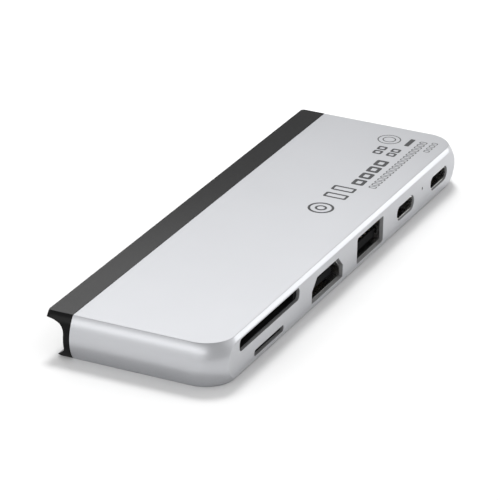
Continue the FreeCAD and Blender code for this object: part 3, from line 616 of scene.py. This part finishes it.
def magnet_pockets():
    """Cutters for the pockets in the strip's back, a close fit round the magnets."""
    side_play, end_play, tall, radius = 0.05, 0.03, 3.1, 0.2
    z = front_view("edge_magnets")[1]
    pockets = []
    for low_x, high_x in magnet_spans():
        outline = rounded_box(
            (low_x + high_x) / 2, z, high_x - low_x + 2 * side_play, tall, radius)
        pockets.append(prism(outline, "y", SEAM_Y - OVERSHOOT, magnet_high.y + end_play))
    return join(*pockets)


def strip_rounding(middle, faces):
    """The bevel on each crease of the strip, finer along the seam, whatever its faces are."""
    return 0.06 if middle.y < SEAM_Y + 0.3 else 0.1


def make_edge_strip():
    """The black strip: its section pushed along the hub and rounded at both ends."""
    rear_radius, fillet, levels, corner_steps = 0.8, 0.12, 20, 8
    reach = HALF_LENGTH + BULGE + OVERSHOOT
    strip = object_from(
        prism(strip_outline(), "x", -reach, reach), "strip_skin",
        LOOKS["black_satin_plastic"], "edge_strip")
    ends = bulged_slab(LIP_Y, rear_radius, HEIGHT, fillet, levels, corner_steps)
    boolean(strip, linked_object(ends, "ends"), "INTERSECT")
    boolean(strip, linked_object(plug_windows(), "windows"), "DIFFERENCE")
    boolean(strip, linked_object(magnet_pockets(), "pockets"), "DIFFERENCE")
    clean(strip)
    round_edges(strip, strip_rounding, 2, 35)
    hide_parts("edge_frame")


# ---------------------------------------------------------------- marks on the top face


# Rings are (x, y, radius, line). Rows of frames are (x, y, width, height, line, pitch, count),
# where x and y are the first frame's middle.
BOLD_RINGS = ((10.9, -8.8, 2.8, 0.55), (10.9, -8.8, 1.3, 0.5))
BOLD_FRAMES = (
    (18.2, -9.0, 2.5, 5.2, 0.55, 4.1, 2),
    (27.2, -10.4, 3.1, 2.8, 0.8, 3.95, 4),
    (44.6, -7.2, 2.0, 2.1, 0.52, 2.5, 2),
    (44.6, -10.4, 2.0, 2.1, 0.52, 2.5, 2),
)
FAINT_RINGS = ((52.4, -6.6, 2.6, 0.28), (52.4, -6.6, 1.5, 0.28))
FAINT_FRAMES = (
    (26.1, -14.0, 1.15, 1.8, 0.25, 1.55, 19),
    (50.0, -16.4, 1.15, 1.4, 0.22, 1.55, 4),
)


def ring_band(outer, inner):
    """A flat ring between two outlines of equal length, as a thin closed slab."""
    bm = bmesh.new()
    rows = []
    for outline, level in (
            (outer, INK_LOW), (outer, INK_HIGH), (inner, INK_HIGH), (inner, INK_LOW)):
        rows.append([bm.verts.new((x, y, level)) for x, y in outline])
    for first, second in zip(rows, rows[1:] + rows[:1]):
        bridge(bm, first, second)
    bmesh.ops.recalc_face_normals(bm, faces=bm.faces)
    return bm


def ink_ring(x, y, radius, line):
    """A ring of the given outer radius, line wide."""
    return ring_band(circle((x, y), radius, 72), circle((x, y), radius - line, 72))


def ink_frame(x, y, width, tall, line):
    """The outline of a rectangle with round corners, line wide."""
    outer = rounded_box(x, y, width, tall, 0.45)
    inner = rounded_box(x, y, width - 2 * line, tall - 2 * line, 0.2)
    return ring_band(outer, inner)


def ink_bar(x, y, width, tall):
    """A filled rectangle with round corners."""
    outline = rounded_box(x, y, width, tall, min(width, tall) * 0.2, 3)
    return prism(outline, "z", INK_LOW, INK_HIGH)


def ink_shapes(rings, frames):
    """The meshes of a table of rings and a table of rows of frames."""
    shapes = [ink_ring(*ring) for ring in rings]
    for x, y, width, tall, line, pitch, count in frames:
        shapes += [ink_frame(x + pitch * n, y, width, tall, line) for n in range(count)]
    return shapes


def make_marks():
    """Plain shapes where the hub carries its printed marks."""
    bold = ink_shapes(BOLD_RINGS, BOLD_FRAMES) + [ink_bar(52.75, -11.3, 4.3, 1.1)]
    object_from(join(*bold), "bold_marks", INK, "hub")
    faint = ink_shapes(FAINT_RINGS, FAINT_FRAMES)
    object_from(join(*faint), "faint_marks", FAINT_INK, "hub")


# ---------------------------------------------------------------- carried-over pieces


def dress_frame():
    """Gives every CAD node that stays the look of its material slot."""
    slots = {part["node"]: part["material_slot"] for part in frame["record"]["subparts"]}
    for node, item in frame["nodes"].items():
        item.data.materials.clear()
        item.data.materials.append(LOOKS[slots[node]])
        if node.endswith("_shell") and "socket" in node:
            soften(item, 0.14 if node.startswith("usb_c") else 0.1)


# ---------------------------------------------------------------- studio


def make_camera():
    """A long lens from the card-slot end, a little above the hub."""
    data = bpy.data.cameras.new("camera")
    data.sensor_width = 36.0
    data.lens = 246.5
    data.clip_end = 20.0
    camera = bpy.data.objects.new("camera", data)
    right = Vector((0.42589, -0.90448, 0.02301))
    up = Vector((0.35997, 0.19272, 0.91284))
    stand = Vector((-590.49, -268.46, 291.62))
    back = right.cross(up).normalized()
    up = back.cross(right).normalized()
    right.normalize()
    place = Matrix((right, up, back)).transposed().to_4x4()
    place.translation = stand * MM
    camera.matrix_world = place
    bpy.context.scene.collection.objects.link(camera)
    bpy.context.scene.camera = camera


def make_floor():
    """A white floor, a hair below the hub so that the two don't share a plane."""
    half_size, drop = 4000, 0.02
    bm = bmesh.new()
    bmesh.ops.create_grid(bm, x_segments=8, y_segments=8, size=half_size)
    floor = linked_object(bm, "floor")
    floor.location.z = -drop * MM
    look = Look("white_floor", (0.84, 0.84, 0.84), 0.0, 0.6)
    look.roughness_from(look.spread(look.noise(400), 0.58, 0.64))
    floor.data.materials.append(look.material)


def softbox(name, azimuth, elevation, distance, width, tall, radiance, glossy=True):
    """An area light facing the hub, sizes in metres. Azimuth 0 is towards +Y, 90 towards +X.

    One that isn't glossy lights the hub but isn't mirrored in it.
    """
    around, above = math.radians(azimuth), math.radians(elevation)
    toward = Vector((
        math.sin(around) * math.cos(above), math.cos(around) * math.cos(above), math.sin(above)))
    data = bpy.data.lights.new(name, "AREA")
    data.shape = "RECTANGLE"
    data.size = width
    data.size_y = tall
    data.energy = radiance * math.pi * width * tall
    light = bpy.data.objects.new(name, data)
    light.location = toward * distance
    light.rotation_euler = (-toward).to_track_quat("-Z", "Y").to_euler()
    light.visible_camera = False
    light.visible_glossy = glossy
    bpy.context.scene.collection.objects.link(light)


def make_world(level, dimmed):
    """An even pale surround, with parts of it dimmed: (direction, cosine where it starts and
    where it is complete, brightness left there)."""
    world = bpy.data.worlds.new("studio")
    bpy.context.scene.world = world
    world.use_nodes = True
    nodes, links = world.node_tree.nodes, world.node_tree.links
    place = nodes.new("ShaderNodeTexCoord").outputs["Generated"]
    factors = []
    for direction, start, complete, left in dimmed:
        full = 1.0 if factors else level
        along = nodes.new("ShaderNodeVectorMath")
        along.operation = "DOT_PRODUCT"
        links.new(place, along.inputs[0])
        along.inputs[1].default_value = Vector(direction).normalized()
        fade = nodes.new("ShaderNodeMapRange")
        fade.interpolation_type = "SMOOTHSTEP"
        fade.inputs["From Min"].default_value = start
        fade.inputs["From Max"].default_value = complete
        fade.inputs["To Min"].default_value = full
        fade.inputs["To Max"].default_value = full * left
        links.new(along.outputs["Value"], fade.inputs["Value"])
        factors.append(fade.outputs["Result"])
    strength = factors[0]
    for factor in factors[1:]:
        product = nodes.new("ShaderNodeMath")
        product.operation = "MULTIPLY"
        links.new(strength, product.inputs[0])
        links.new(factor, product.inputs[1])
        strength = product.outputs["Value"]
    background = nodes["Background"]
    background.inputs["Color"].default_value = (0.992, 0.992, 0.992, 1)
    links.new(strength, background.inputs["Strength"])


def make_lights():
    """A pale room, dimmed overhead, before the port face and behind the far end, and four
    softboxes: azimuth, elevation, distance, width, height, radiance."""
    make_world(1.08, (
        ((0.0, 0.0, 1.0), 0.5, 0.9, 0.45),
        ((-0.42, -0.89, 0.05), 0.55, 0.9, 0.6),
        ((0.9, 0.42, 0.05), 0.6, 0.95, 0.45)))
    softbox("back_softbox", 52, 36, 0.44, 0.34, 0.16, 1.78)
    softbox("left_softbox", -84, 27, 0.9, 1.05, 0.22, 1.4)
    softbox("right_softbox", 122, 13, 0.9, 0.5, 0.2, 1.85)
    softbox("top_softbox", 63, 61, 1.0, 0.26, 0.26, 30, glossy=False)


make_camera()
make_floor()
make_lights()
dress_frame()
make_housing_shell()
make_edge_strip()
make_marks()

bpy.context.scene.view_settings.view_transform = "Standard"
